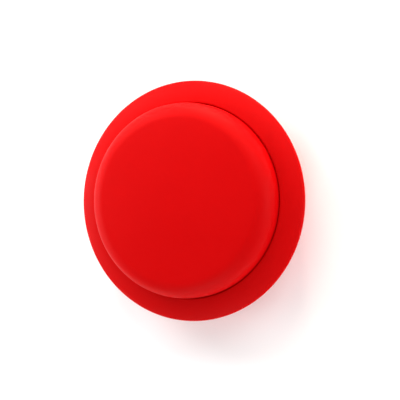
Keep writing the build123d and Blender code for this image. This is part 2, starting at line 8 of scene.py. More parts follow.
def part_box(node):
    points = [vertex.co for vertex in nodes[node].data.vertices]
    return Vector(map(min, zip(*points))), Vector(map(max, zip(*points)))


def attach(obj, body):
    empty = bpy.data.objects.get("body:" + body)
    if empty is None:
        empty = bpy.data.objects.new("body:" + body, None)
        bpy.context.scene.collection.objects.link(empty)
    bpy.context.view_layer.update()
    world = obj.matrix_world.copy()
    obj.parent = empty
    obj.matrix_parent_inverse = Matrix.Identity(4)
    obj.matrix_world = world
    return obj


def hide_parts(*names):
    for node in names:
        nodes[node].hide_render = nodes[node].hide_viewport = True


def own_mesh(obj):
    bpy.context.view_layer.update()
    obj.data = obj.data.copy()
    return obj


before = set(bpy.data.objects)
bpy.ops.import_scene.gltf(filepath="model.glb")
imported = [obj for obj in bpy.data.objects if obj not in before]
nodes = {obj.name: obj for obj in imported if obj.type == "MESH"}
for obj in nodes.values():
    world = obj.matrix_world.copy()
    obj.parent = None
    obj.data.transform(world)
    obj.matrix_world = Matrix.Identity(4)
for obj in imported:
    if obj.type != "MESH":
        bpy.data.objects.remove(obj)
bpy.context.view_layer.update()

scene = bpy.context.scene
mm = 0.001
samePoint = 0.002 * mm  # corners nearer than this are one corner
rimHeight = 19.5  # mm from the table to the bezel's widest circle
quarterTurns = (0, 90, 180, 270)


# sRGB hex to the linear colour that the shaders use
def linear(hexColour):
    channels = [int(hexColour[i:i + 2], 16) / 255 for i in (0, 2, 4)]
    return [c / 12.92 if c <= 0.04045 else ((c + 0.055) / 1.055) ** 2.4 for c in channels] + [1]


# a shader node with its settings, socket values, links and, on a ramp, its two stops
def addNode(tree, kind, settings={}, values={}, links={}, stops=()):
    node = tree.nodes.new("ShaderNode" + kind)
    for name, value in settings.items():
        setattr(node, name, value)
    for socket, value in values.items():
        node.inputs[socket].default_value = value
    for socket, source in links.items():
        tree.links.new(source, node.inputs[socket])
    for i, (position, colour) in enumerate(stops):
        stop = node.color_ramp.elements[i]
        stop.position = position
        stop.color = colour
    return node


def newMaterial(name, values):
    material = bpy.data.materials.new(name)
    material.use_nodes = True
    tree = material.node_tree
    shader = tree.nodes["Principled BSDF"]
    for socket, value in values.items():
        shader.inputs[socket].default_value = value
    return material, tree, shader


# a bmesh as an object, with its faces outwards
def meshObject(name, bm):
    bmesh.ops.remove_doubles(bm, verts=bm.verts, dist=samePoint)
    bmesh.ops.recalc_face_normals(bm, faces=bm.faces)
    mesh = bpy.data.meshes.new(name)
    bm.to_mesh(mesh)
    bm.free()
    piece = bpy.data.objects.new(name, mesh)
    scene.collection.objects.link(piece)
    return piece


# joins one closed solid to another, or cuts it away
def combine(piece, tool, operation):
    boolean = piece.modifiers.new("combine", "BOOLEAN")
    boolean.object = tool
    boolean.operation = operation
    boolean.solver = "MANIFOLD"
    graph = bpy.context.evaluated_depsgraph_get()
    joined = bpy.data.meshes.new_from_object(piece.evaluated_get(graph))
    piece.modifiers.clear()
    piece.data = joined
    bpy.data.objects.remove(tool)


# shades a piece, sets it on a body and, where told, lets it stand for a CAD node
def dressPiece(piece, material, body, replaces=(), sharpAngle=35):
    piece.data.polygons.foreach_set("use_smooth", [True] * len(piece.data.polygons))
    piece.data.set_sharp_from_angle(angle=math.radians(sharpAngle))
    piece.data.materials.clear()
    piece.data.materials.append(material)
    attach(piece, body)
    if replaces:
        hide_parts(*replaces)
    return piece


# draws a line of edges in the XZ plane: a point to run to, or an arc about a centre
def drawProfile(bm, start, moves):
    tip = bm.verts.new((start[0] * mm, 0, start[1] * mm))
    for move in moves:
        if len(move) == 2:
            run = bmesh.ops.extrude_vert_indiv(bm, verts=[tip])
            tip = run["verts"][0]
            tip.co = (move[0] * mm, 0, move[1] * mm)
        else:
            centreRadius, centreHeight, degrees, steps = move
            turn = bmesh.ops.spin(bm, geom=[tip], cent=(centreRadius * mm, 0, centreHeight * mm),
                                  axis=(0, 1, 0), angle=math.radians(degrees), steps=steps)
            tip = [g for g in turn["geom_last"] if isinstance(g, bmesh.types.BMVert)][0]


def spinRound(bm, steps):
    bmesh.ops.remove_doubles(bm, verts=bm.verts, dist=samePoint)
    bmesh.ops.spin(bm, geom=bm.verts[:] + bm.edges[:], cent=(0, 0, 0), axis=(0, 0, 1),
                   angle=math.tau, steps=steps, use_merge=True)
    bmesh.ops.remove_doubles(bm, verts=bm.verts, dist=samePoint)


# a round bar between two heights
def addPost(bm, radius, low, high, x=0, y=0, sides=48):
    middle = Matrix.Translation((x * mm, y * mm, (low + high) / 2 * mm))
    bmesh.ops.create_cone(bm, cap_ends=True, segments=sides, radius1=radius * mm,
                          radius2=radius * mm, depth=(high - low) * mm, matrix=middle)


def ringPlaces(radius, angles):
    return [(radius * math.cos(math.radians(a)), radius * math.sin(math.radians(a))) for a in angles]


# fills the closed line in the XZ plane and gives it a thickness, half each side
def extrudeFlat(bm, thickness):
    bmesh.ops.remove_doubles(bm, verts=bm.verts, dist=samePoint)
    bmesh.ops.contextual_create(bm, geom=bm.edges[:])
    bmesh.ops.translate(bm, verts=bm.verts[:], vec=(0, -thickness / 2 * mm, 0))
    pulled = bmesh.ops.extrude_face_region(bm, geom=bm.faces[:])["geom"]
    bmesh.ops.translate(bm, verts=[g for g in pulled if isinstance(g, bmesh.types.BMVert)],
                        vec=(0, thickness * mm, 0))


# rounds the ring of edges that lies at that radius and height
def roundRing(bm, radius, height, offset, segments):
    near = 0.02 * mm
    ring = [e for e in bm.edges if all(
        abs(v.co.xy.length - radius * mm) < near and abs(v.co.z - height * mm) < near
        for v in e.verts)]
    bmesh.ops.bevel(bm, geom=ring, offset=offset * mm, offset_type="OFFSET", segments=segments,
                    profile=0.5, affect="EDGES", material=-1)


# degrees off the button's axis, metres to the rim's middle, and how far beside it the lens aims in mm
view = {"tilt": 23.21, "swing": -2.4, "distance": 0.6, "aimRight": 3.74, "aimUp": 0.3,
        "lens": 129.88, "sensor": 36, "clipStart": 0.01}


# right and up of a lens that looks along -back, with the +Y side upmost
def lensAxes(back):
    right = Vector((0, 1, 0)).cross(back).normalized()
    return right, back.cross(right)


def placeCamera():
    tilt = math.radians(view["tilt"])
    swing = math.radians(view["swing"])
    middle = Vector((0, 0, rimHeight * mm))
    back = Vector((math.sin(tilt) * math.cos(swing), math.sin(tilt) * math.sin(swing), math.cos(tilt)))
    right, up = lensAxes(back)
    place = middle + back * view["distance"]
    target = middle + right * view["aimRight"] * mm + up * view["aimUp"] * mm
    back = (place - target).normalized()
    right, up = lensAxes(back)
    camera = bpy.data.objects.new("camera", bpy.data.cameras.new("camera"))
    scene.collection.objects.link(camera)
    camera.data.lens = view["lens"]
    camera.data.sensor_width = view["sensor"]
    camera.data.clip_start = view["clipStart"]
    camera.matrix_world = Matrix.Translation(place) @ Matrix((right, up, back)).transposed().to_4x4()
    scene.camera = camera


# softboxes that face the middle: place and width in metres, power in watts
lights = {
    "backLeft": {"place": (-0.65, 0.65, 0.5), "size": 0.6, "power": 6.6},
    "backRight": {"place": (0.65, 0.65, 0.5), "size": 0.6, "power": 3.8},
    "backRim": {"place": (0, 1.0, 0.08), "size": 0.14, "power": 7.4, "colour": "fff1dd"},
    "backTop": {"place": (0, 0.85, 0.6), "size": 0.6, "power": 4.6, "colour": "fff1dd"},
    "left": {"place": (-1.0, 0, 0.25), "size": 0.4, "power": 3.7},
    "right": {"place": (1.0, 0, 0.25), "size": 0.4, "power": 2.8},
    "front": {"place": (0, -0.95, 0.4), "size": 0.5, "power": 3.8},
}
studio = {"worldColour": "ffffff", "worldStrength": 0.52, "floorColour": "ffffff", "floorSize": 6,
          "floorRoughness": 0.9, "floorGloss": 0.1}


def lightStudio():
    scene.view_settings.view_transform = "Standard"
    world = bpy.data.worlds.new("world")
    world.use_nodes = True
    background = world.node_tree.nodes["Background"]
    background.inputs["Color"].default_value = linear(studio["worldColour"])
    background.inputs["Strength"].default_value = studio["worldStrength"]
    scene.world = world
    for name, look in lights.items():
        lamp = bpy.data.lights.new(name, "AREA")
        lamp.shape = "DISK"
        lamp.size = look["size"]
        lamp.energy = look["power"]
        lamp.color = linear(look.get("colour", "ffffff"))[:3]
        lampObject = bpy.data.objects.new(name, lamp)
        lampObject.location = look["place"]
        lampObject.rotation_euler = Vector(look["place"]).to_track_quat("Z", "Y").to_euler()
        scene.collection.objects.link(lampObject)
    bm = bmesh.new()
    bmesh.ops.create_grid(bm, x_segments=1, y_segments=1, size=studio["floorSize"] / 2)
    mesh = bpy.data.meshes.new("floor")
    bm.to_mesh(mesh)
    bm.free()
    floor = bpy.data.objects.new("floor", mesh)
    scene.collection.objects.link(floor)
    floorPaint = newMaterial("mattWhiteFloor", {
        "Base Color": linear(studio["floorColour"]), "Roughness": studio["floorRoughness"],
        "Specular IOR Level": studio["floorGloss"]})[0]
    mesh.materials.append(floorPaint)


placeCamera()
lightStudio()
print("camera, lights and floor are up")


# how every surface reads its clouds: where one shade ends and the other starts, how far the
# roughness follows, and the height of a full-strength grain
surfaceLook = {"shadeEnds": 0.35, "colourStarts": 0.65, "dullFrom": 0.3, "dullTo": 0.7,
               "cloudDetail": 3, "grainDetail": 2, "grainHeight": 0.1, "edgeSamples": 6}


# two close shades in soft clouds, a roughness that wanders with them, and a grain in the surface.
# Real grains of a few hundredths of a millimetre don't show, so each is drawn coarser than life.
def newSurface(name, look):
    material, tree, shader = newMaterial(name, {
        "Metallic": look.get("metallic", 0), "IOR": look.get("ior", 1.5),
        "Specular IOR Level": look.get("gloss", 0.5), "Subsurface Weight": look.get("depth", 0),
        "Subsurface Scale": look.get("depthMm", 1) * mm,
        "Subsurface Radius": look.get("sinks", (1, 1, 1))})
    place = addNode(tree, "TexCoord").outputs["Object"]
    cloud = addNode(tree, "TexNoise", {}, {"Scale": 1 / (look["cloudMm"] * mm),
                                           "Detail": surfaceLook["cloudDetail"]}, {"Vector": place})
    tone = addNode(tree, "ValToRGB", {}, {}, {"Fac": cloud.outputs["Fac"]},
                   [(surfaceLook["shadeEnds"], linear(look["shade"])),
                    (surfaceLook["colourStarts"], linear(look["colour"]))])
    dull = addNode(tree, "MapRange", {}, {
        "From Min": surfaceLook["dullFrom"], "From Max": surfaceLook["dullTo"],
        "To Min": look["roughness"] - look["wander"],
        "To Max": look["roughness"] + look["wander"]}, {"Value": cloud.outputs["Fac"]})
    drawn = addNode(tree, "Mapping", {}, {"Scale": look.get("drawnOut", (1, 1, 1))}, {"Vector": place})
    grain = addNode(tree, "TexNoise", {}, {"Scale": 1 / (look["grainMm"] * mm),
                                           "Detail": surfaceLook["grainDetail"]},
                    {"Vector": drawn.outputs["Vector"]})
    bump = addNode(tree, "Bump", {}, {"Strength": look["grainDepth"],
                                       "Distance": surfaceLook["grainHeight"] * mm},
                   {"Height": grain.outputs["Fac"]})
    if "edgeMm" in look:  # moulded edges are never knife sharp
        softened = addNode(tree, "Bevel", {"samples": surfaceLook["edgeSamples"]},
                           {"Radius": look["edgeMm"] * mm})
        tree.links.new(softened.outputs["Normal"], bump.inputs["Normal"])
    tree.links.new(tone.outputs["Color"], shader.inputs["Base Color"])
    tree.links.new(dull.outputs["Result"], shader.inputs["Roughness"])
    tree.links.new(bump.outputs["Normal"], shader.inputs["Normal"])
    return {"material": material, "tree": tree, "shader": shader, "place": place,
            "tone": tone.outputs["Color"], "bump": bump}


# puts a second colour, and where told bare metal, on a surface where a mask is 1
def overlay(made, mask, colour, metal=False):
    tree = made["tree"]
    both = addNode(tree, "Mix", {"data_type": "RGBA"}, {"B": linear(colour)},
                   {"Factor": mask, "A": made["tone"]})
    made["tone"] = both.outputs["Result"]
    tree.links.new(made["tone"], made["shader"].inputs["Base Color"])
    if metal:
        tree.links.new(mask, made["shader"].inputs["Metallic"])


# a chain of Math nodes: each step is (operation, second value), and starts from a socket
def sums(tree, start, steps):
    for operation, second in steps:
        node = addNode(tree, "Math", {"operation": operation}, {1: second}, {0: start})
        start = node.outputs["Value"]
    return start


# moulded ABS, spark-eroded satin: even colour, a broad soft sheen and a grain felt more than seen
satinRed = {"colour": "c50204", "shade": "c30204", "gloss": 0.045, "depth": 0.8, "depthMm": 1.5,
            "sinks": (1, 0.3, 0.3), "roughness": 0.5, "wander": 0.04,
            "cloudMm": 30, "grainMm": 0.8, "grainDepth": 0.15}
capPlastic = newSurface("satinMouldedAbsCap", satinRed)["material"]
bezelPlastic = newSurface("satinMouldedAbsBezel", {**satinRed, "roughness": 0.55})["material"]
basePlastic = newSurface("grainedMouldedAbsBase", {
    **satinRed, "colour": "c40306", "shade": "bf0205", "grainMm": 0.5, "grainDepth": 0.3,
    "gloss": 0.1, "edgeMm": 0.35})["material"]

# unpainted black ABS, moulded: charcoal, with the flow of the plastic as faint cloudy gloss
blackPlastic = newSurface("flowMarkedBlackAbs", {
    "colour": "262629", "shade": "1f1f21", "gloss": 0.4, "roughness": 0.42, "wander": 0.1,
    "cloudMm": 14, "grainMm": 0.6, "grainDepth": 0.2})["material"]

# nitrile rubber, moulded and dusty: near black, dull, with a soft bloom of grey
footRubber = newSurface("bloomedMouldedRubber", {
    "colour": "2c2b29", "shade": "1b1a19", "gloss": 0.3, "roughness": 0.82, "wander": 0.08,
    "cloudMm": 4, "grainMm": 0.35, "grainDepth": 0.5})["material"]

# silicone rubber, moulded: milky, with light that sinks in a little and a skin like candle wax
silicone = newSurface("milkyMouldedSilicone", {
    "colour": "dedcd4", "shade": "d3d1c8", "gloss": 0.35, "roughness": 0.48, "wander": 0.06,
    "cloudMm": 3, "grainMm": 0.5, "grainDepth": 0.1, "depth": 0.2, "depthMm": 1.2})["material"]

# carbon-filled rubber, punched from sheet: sooty black with a faint graphite shine
carbonRubber = newSurface("punchedCarbonRubber", {
    "colour": "191919", "shade": "0e0e0f", "gloss": 0.6, "roughness": 0.5, "wander": 0.1,
    "cloudMm": 1, "grainMm": 0.2, "grainDepth": 0.3})["material"]

# zinc plated steel, rolled thread: pale, a little blue, with cloudy passivation
zincSteel = newSurface("bluePassivatedZinc", {
    "colour": "cdd1d6", "shade": "b2b9c4", "metallic": 1, "roughness": 0.3, "wander": 0.08,
    "cloudMm": 1.2, "grainMm": 0.3, "grainDepth": 0.15})["material"]

# spring wire, cold drawn: mid grey and bright, with short streaks where the die dragged
springWire = newSurface("brightDrawnSpringWire", {
    "colour": "a9abae", "shade": "8b8d91", "metallic": 1, "roughness": 0.26, "wander": 0.07,
    "cloudMm": 2, "grainMm": 0.25, "grainDepth": 0.2, "drawnOut": (1, 1, 3)})["material"]

# nickel plated strip, rolled: warm grey mirror with fine lines along the strip
nickelStrip = newSurface("rolledNickelStrip", {
    "colour": "cdc8bb", "shade": "bab4a4", "metallic": 1, "roughness": 0.22, "wander": 0.06,
    "cloudMm": 3, "grainMm": 0.2, "grainDepth": 0.25, "drawnOut": (1, 0.08, 1)})["material"]

# pressed steel under thin black paint: half gloss, with the low waves of a dipped coat
dippedSteel = newSurface("dippedBlackSteel", {
    "colour": "2a2a2c", "shade": "232325", "gloss": 0.5, "roughness": 0.32, "wander": 0.05,
    "cloudMm": 5, "grainMm": 1.5, "grainDepth": 0.3})["material"]

# sintered ferrite, ground: slate grey, dull, with the specks of pressed powder
groundFerrite = newSurface("groundFerrite", {
    "colour": "3b3a3d", "shade": "2a292c", "gloss": 0.35, "roughness": 0.66, "wander": 0.08,
    "cloudMm": 0.6, "grainMm": 0.25, "grainDepth": 0.5})["material"]

# potting epoxy, poured: jet black and wet-looking, never quite flat
pouredEpoxy = newSurface("pouredBlackEpoxy", {
    "colour": "111112", "shade": "0b0b0c", "gloss": 0.5, "roughness": 0.18, "wander": 0.05,
    "cloudMm": 2, "grainMm": 2.5, "grainDepth": 0.4})["material"]

# PVC insulation, extruded over a stranded core: soft gloss that follows the twist under it
wireLook = {"gloss": 0.45, "roughness": 0.38, "wander": 0.05,
            "cloudMm": 4, "grainMm": 0.7, "grainDepth": 0.25}
redInsulation = newSurface("extrudedRedPvc", {
    **wireLook, "colour": "b3261f", "shade": "a41f1a"})["material"]
blackInsulation = newSurface("extrudedBlackPvc", {
    **wireLook, "colour": "1e1e20", "shade": "161618"})["material"]

boardLook = {"colour": "1d6b3a", "shade": "18602f", "gloss": 0.5, "roughness": 0.3, "wander": 0.06,
             "cloudMm": 6, "grainMm": 0.4, "grainDepth": 0.1, "trackPitch": 1.27, "trackWidth": 0.3,
             "trackRun": 7.0, "trackShift": 0.37, "trackSquash": 0.6, "squashEvery": 3, "trackBlur": 0.2,
             "flatFacing": 0.5, "overCopper": "3f9a55", "cutEdge": "b9a569"}


# fibreglass laminate, solder-masked and routed: glossy green, lighter over copper, straw-coloured edges
def maskedLaminate():
    made = newSurface("solderMaskedLaminate", boardLook)
    tree = made["tree"]
    tracks = addNode(tree, "TexBrick", {
        "offset": boardLook["trackShift"], "squash": boardLook["trackSquash"],
        "squash_frequency": boardLook["squashEvery"]}, {
        "Scale": 1 / mm, "Mortar Size": boardLook["trackWidth"] / 2,
        "Mortar Smooth": boardLook["trackBlur"],
        "Brick Width": boardLook["trackRun"], "Row Height": boardLook["trackPitch"],
        "Bias": 0, "Color1": (0, 0, 0, 1), "Color2": (0, 0, 0, 1), "Mortar": (1, 1, 1, 1)},
        {"Vector": made["place"]})
    overlay(made, tracks.outputs["Color"], boardLook["overCopper"])
    outwards = addNode(tree, "TexCoord").outputs["Normal"]
    facing = addNode(tree, "SeparateXYZ", {}, {}, {"Vector": outwards})
    edge = sums(tree, facing.outputs["Z"], [("ABSOLUTE", 0), ("LESS_THAN", boardLook["flatFacing"])])
    overlay(made, edge, boardLook["cutEdge"])
    tree.links.new(tracks.outputs["Color"], made["bump"].inputs["Height"])
    return made["material"]


chipLook = {"colour": "222226", "shade": "1a1a1d", "gloss": 0.5, "roughness": 0.35, "wander": 0.05,
            "cloudMm": 0.5, "grainMm": 0.15, "grainDepth": 0.2, "rowX": 11.0, "bodyHalf": 0.68,
            "tin": "c4c6c8"}


# glazed ceramic chips, their ends dipped in tin: black glass between two bright caps
def glazedChip():
    made = newSurface("glazedChipTinnedEnds", chipLook)
    place = addNode(made["tree"], "SeparateXYZ", {}, {}, {"Vector": made["place"]})
    ends = sums(made["tree"], place.outputs["X"], [
        ("ABSOLUTE", 0), ("SUBTRACT", chipLook["rowX"] * mm), ("ABSOLUTE", 0),
        ("GREATER_THAN", chipLook["bodyHalf"] * mm)])
    overlay(made, ends, chipLook["tin"], metal=True)
    return made["material"]


padLook = {"colour": "8a5a33", "shade": "774a28", "gloss": 0.4, "roughness": 0.5, "wander": 0.08,
           "cloudMm": 0.8, "grainMm": 0.3, "grainDepth": 0.3, "padX": 1.6, "padHalf": 0.8,
           "tin": "c9cacb"}


# phenolic paper board, punched: tobacco brown with two tinned pads
def phenolicBoard():
    made = newSurface("punchedPhenolicPaper", padLook)
    place = addNode(made["tree"], "SeparateXYZ", {}, {}, {"Vector": made["place"]})
    pads = sums(made["tree"], place.outputs["X"], [
        ("ABSOLUTE", 0), ("SUBTRACT", padLook["padX"] * mm), ("ABSOLUTE", 0),
        ("LESS_THAN", padLook["padHalf"] * mm)])
    overlay(made, pads, padLook["tin"], metal=True)
    return made["material"]


filmLook = {"colour": "d5d4cb", "shade": "c9c8be", "gloss": 0.5, "ior": 1.65, "roughness": 0.22,
            "wander": 0.05, "cloudMm": 4, "grainMm": 1.0, "grainDepth": 0.5, "ringMm": 1.2}
oneRing = math.tau / 20  # the wave pattern's rings lie this far apart at a scale of 1


# polyester film, heat-formed: milky and glossy, pressed in fine rings that stiffen the cone
def formedFilm(node):
    made = newSurface("heatFormedPolyester", filmLook)
    tree = made["tree"]
    low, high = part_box(node)
    middle = (low + high) / 2
    centred = addNode(tree, "Mapping", {}, {"Location": -middle}, {"Vector": made["place"]})
    rings = addNode(tree, "TexWave", {"wave_type": "RINGS", "rings_direction": "Z"},
                    {"Scale": oneRing / (filmLook["ringMm"] * mm)},
                    {"Vector": centred.outputs["Vector"]})
    tree.links.new(rings.outputs["Fac"], made["bump"].inputs["Height"])
    return made["material"]


foamLook = {"colour": "232322", "shade": "181817", "gloss": 0.2, "roughness": 0.92, "wander": 0.04,
            "cloudMm": 1.5, "grainMm": 0.4, "grainDepth": 0.8, "cellMm": 0.5}


# closed-cell foam, die-cut: black, light-drinking, pitted with burst cells
def cellFoam():
    made = newSurface("dieCutClosedCellFoam", foamLook)
    cells = addNode(made["tree"], "TexVoronoi", {}, {"Scale": 1 / (foamLook["cellMm"] * mm)},
                    {"Vector": made["place"]})
    made["tree"].links.new(cells.outputs["Distance"], made["bump"].inputs["Height"])
    return made["material"]


cellLook = {"colour": "26457f", "shade": "223e74", "gloss": 0.5, "roughness": 0.22, "wander": 0.04,
            "cloudMm": 9, "grainMm": 2.0, "grainDepth": 0.2, "wrapInside": 4.3, "bandLength": 9.0,
            "band": "c98a3c", "line": "e8e4da", "lineWidth": 0.8, "metal": "c9c9c6"}


# steel can in shrink-wrapped film: a plain glossy label rolled over the shoulders, bare metal inside it
def wrappedCell(node, towards):
    made = newSurface("shrinkWrapped" + node.title().replace("_", ""), cellLook)
    tree = made["tree"]
    low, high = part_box(node)
    middle = (low + high) / 2
    centred = addNode(tree, "Mapping", {}, {"Location": -middle}, {"Vector": made["place"]})
    place = addNode(tree, "SeparateXYZ", {}, {}, {"Vector": centred.outputs["Vector"]})
    along = sums(tree, place.outputs["X"], [("MULTIPLY", towards)])
    bandStart = (high.x - low.x) / 2 - cellLook["bandLength"] * mm
    lineStart = bandStart - cellLook["lineWidth"] * mm
    overlay(made, sums(tree, along, [("GREATER_THAN", lineStart)]), cellLook["line"])
    overlay(made, sums(tree, along, [("GREATER_THAN", bandStart)]), cellLook["band"])
    flat = addNode(tree, "CombineXYZ", {}, {}, {"Y": place.outputs["Y"], "Z": place.outputs["Z"]})
    outwards = addNode(tree, "VectorMath", {"operation": "LENGTH"}, {}, {0: flat.outputs["Vector"]})
    bare = sums(tree, outwards.outputs["Value"], [("LESS_THAN", cellLook["wrapInside"] * mm)])
    overlay(made, bare, cellLook["metal"], metal=True)
    return made["material"]


finishes = {
    "base_tub": basePlastic, "battery_door": basePlastic,
    "chassis_plate": blackPlastic, "speaker_clamp": blackPlastic,
    "contact_pill": carbonRubber, "circuit_board": maskedLaminate(), "sound_chip": pouredEpoxy,
    "chip_resistors": glazedChip(), "speaker_gasket": cellFoam(), "speaker_frame": dippedSteel,
    "speaker_magnet": groundFerrite, "speaker_cone": formedFilm("speaker_cone"),
    "speaker_terminal": phenolicBoard(),
    "contact_bridge": nickelStrip, "contact_positive": nickelStrip, "contact_negative": nickelStrip,
    "bezel_screws": zincSteel, "base_screws": zincSteel, "board_screws": zincSteel,
    "clamp_screws": zincSteel,
    "battery_lead_red": redInsulation, "battery_lead_black": blackInsulation,
    "speaker_lead_red": redInsulation, "speaker_lead_black": blackInsulation,
    "battery_1": wrappedCell("battery_1", 1), "battery_2": wrappedCell("battery_2", -1),
}
for name, material in finishes.items():
    nodes[name].material_slots[0].material = material
print("every kept piece has its finish")


# lengths in mm, as in every shape below, and angles in degrees
capShape = {"radius": 40.25, "crownRise": 3.0, "shoulderRound": 8.0, "wall": 2.2, "flangeReach": 1.2,
            "flangeThickness": 1.4, "notchRing": 43.3, "notchRadius": 2.7, "notchStart": 1.0,
            "ribThickness": 1.4, "ribDepth": 3.2, "ribs": 6, "ribPast": 0.3, "plunger": 3.2,
            "plungerEnd": 18.4, "steps": 192, "arcSteps": 20}
springShape = {"ring": 27.0, "angles": (90, 210, 330), "meanRadius": 4.0, "wire": 0.7, "turns": 7.5,
               "steps": 28, "wireSides": 10, "pinRadius": 2.9, "pinHeight": 3.0, "seatRadius": 4.7}


def crownRadius():
    return (capShape["radius"] ** 2 + capShape["crownRise"] ** 2) / (2 * capShape["crownRise"])


# height of the crown at a radius, or of the surface that far under it
def crownHeight(top, radius, inset=0):
    return top - crownRadius() + math.sqrt((crownRadius() - inset) ** 2 - radius ** 2)


# the crown, the rounded shoulder and the wall of the cap, or the surface that far inside them
def capLine(top, inset):
    radius, rounding, crown = capShape["radius"], capShape["shoulderRound"], crownRadius()
    crownTurn = math.degrees(math.asin((radius - rounding) / (crown - rounding)))
    crownCentre = top - crown
    shoulderHeight = crownCentre + (crown - rounding) * math.cos(math.radians(crownTurn))
    return {"start": (0, top - inset), "wallTop": (radius - inset, shoulderHeight),
            "crown": (0, crownCentre, crownTurn, capShape["arcSteps"]),
            "shoulder": (radius - rounding, shoulderHeight, 90 - crownTurn, capShape["arcSteps"])}


def reversedArc(arc):
    return (arc[0], arc[1], -arc[2], arc[3])


def makeCap():
    low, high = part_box("button_cap")
    top, bottom = high.z / mm, low.z / mm
    inner = capShape["radius"] - capShape["wall"]
    flange = capShape["radius"] + capShape["flangeReach"]
    flangeTop = bottom + capShape["flangeThickness"]
    line = capLine(top, 0)
    bm = bmesh.new()
    drawProfile(bm, line["start"], [
        line["crown"], line["shoulder"], (capShape["radius"], flangeTop), (flange, flangeTop),
        (flange, bottom), (inner, bottom), (inner, line["wallTop"][1]),
        reversedArc(line["shoulder"]), reversedArc(line["crown"])])
    spinRound(bm, capShape["steps"])
    shell = meshObject("button_cap_shell", bm)

    # ribs, spring seats and plunger stand down from the middle of the wall
    line = capLine(top, capShape["wall"] / 2)
    ribBottom = crownHeight(top, inner, capShape["wall"]) - capShape["ribDepth"]
    bm = bmesh.new()
    centreRadius, centreHeight, shoulderTurn, arcSteps = line["shoulder"]
    rounding = capShape["shoulderRound"] - capShape["wall"] / 2
    startTurn = math.asin((ribBottom - centreHeight) / rounding)
    drawProfile(bm, (0, ribBottom), [
        (centreRadius + rounding * math.cos(startTurn), ribBottom),
        (centreRadius, centreHeight, math.degrees(startTurn) - shoulderTurn, arcSteps),
        reversedArc(line["crown"]), (0, ribBottom)])
    extrudeFlat(bm, capShape["ribThickness"])
    # each rib runs a little past the middle, so that no two share a corner
    bmesh.ops.translate(bm, verts=bm.verts, vec=(-capShape["ribPast"] * mm, 0, 0))
    rib = bm.verts[:] + bm.edges[:] + bm.faces[:]
    for n in range(1, capShape["ribs"]):
        copied = bmesh.ops.duplicate(bm, geom=rib)["geom"]
        bmesh.ops.rotate(bm, verts=[g for g in copied if isinstance(g, bmesh.types.BMVert)],
                         cent=(0, 0, 0), matrix=Matrix.Rotation(n * math.tau / capShape["ribs"], 3, "Z"))
    addPost(bm, capShape["plunger"], capShape["plungerEnd"], top - capShape["wall"] / 2)
    seatTop = crownHeight(top, springShape["ring"], capShape["wall"] / 2)
    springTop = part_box("return_spring_1")[1].z / mm
    for x, y in ringPlaces(springShape["ring"], springShape["angles"]):
        addPost(bm, springShape["seatRadius"], springTop, seatTop, x, y)
        addPost(bm, springShape["pinRadius"], springTop - springShape["pinHeight"], seatTop, x, y)
    combine(shell, meshObject("cap_inside", bm), "UNION")

    bm = bmesh.new()
    for x, y in ringPlaces(capShape["notchRing"], quarterTurns):
        addPost(bm, capShape["notchRadius"], bottom - capShape["notchStart"], flangeTop, x, y)
    combine(shell, meshObject("cap_notches", bm), "DIFFERENCE")
    dressPiece(shell, capPlastic, "button", ["button_cap"])


bezelShape = {"rim": 50.0, "nose": 1.3, "lipBore": 40.5, "lipRound": 0.6, "lipThickness": 2.2,
              "lipTop": 23.9, "edgeSlope": 35.0, "wellBore": 41.85, "wellOuter": 43.45, "seat": 45.4,
              "groove": 1.3, "bossRing": 43.3, "bossRadius": 2.3, "bossTop": 21.9, "pilot": 1.02,
              "pilotStart": 1.0, "pilotShort": 0.1, "steps": 192, "arcSteps": 14, "lipSteps": 5}


def makeBezel():
    look = bezelShape
    top = look["lipTop"]
    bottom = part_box("bezel_ring")[0].z / mm
    slope = math.radians(look["edgeSlope"])
    noseRadius = look["rim"] - look["nose"]
    start = (noseRadius + look["nose"] * math.sin(slope), rimHeight + look["nose"] * math.cos(slope))
    # the sloping face is an arc from the bore down to the nose, and meets the nose at edgeSlope
    run = start[0] - look["lipBore"]
    drop = top - start[1]
    bend = 2 * (slope - math.atan2(drop, run))
    arc = math.hypot(run, drop) / 2 / math.sin(bend / 2)
    centre = (start[0] - arc * math.sin(slope), start[1] - arc * math.cos(slope))
    bm = bmesh.new()
    drawProfile(bm, (look["lipBore"], top), [
        (centre[0], centre[1], math.degrees(bend), look["arcSteps"]),
        (noseRadius, rimHeight, 180 - look["edgeSlope"], look["arcSteps"]),
        (look["seat"], rimHeight - look["nose"]),
        (look["seat"], rimHeight + look["groove"]),
        (look["wellOuter"], rimHeight + look["groove"]),
        (look["wellOuter"], bottom), (look["wellBore"], bottom),
        (look["wellBore"], top - look["lipThickness"]),
        (look["lipBore"], top - look["lipThickness"]),
        (look["lipBore"], top)])
    spinRound(bm, look["steps"])
    roundRing(bm, look["lipBore"], top, look["lipRound"], look["lipSteps"])
    ring = meshObject("bezel_shell", bm)
    pilotEnds = (bottom - look["pilotStart"], look["bossTop"] - look["pilotShort"])
    for radius, low, high, operation in ((look["bossRadius"], bottom, look["bossTop"], "UNION"),
                                         (look["pilot"], *pilotEnds, "DIFFERENCE")):
        bm = bmesh.new()
        for x, y in ringPlaces(look["bossRing"], quarterTurns):
            addPost(bm, radius, low, high, x, y)
        combine(ring, meshObject("bezel_bosses", bm), operation)
    dressPiece(ring, bezelPlastic, "base", ["bezel_ring"])


makeCap()
makeBezel()
print("cap and bezel are made")


# the cone-shaped contact springs: wire, wide and narrow radii and turns, and the steps and sides they
# are drawn with
contactShape = {"wire": 0.5, "wideRadius": 2.8, "narrowRadius": 1.7, "turns": 3.2,
                "steps": 32, "wireSides": 8}


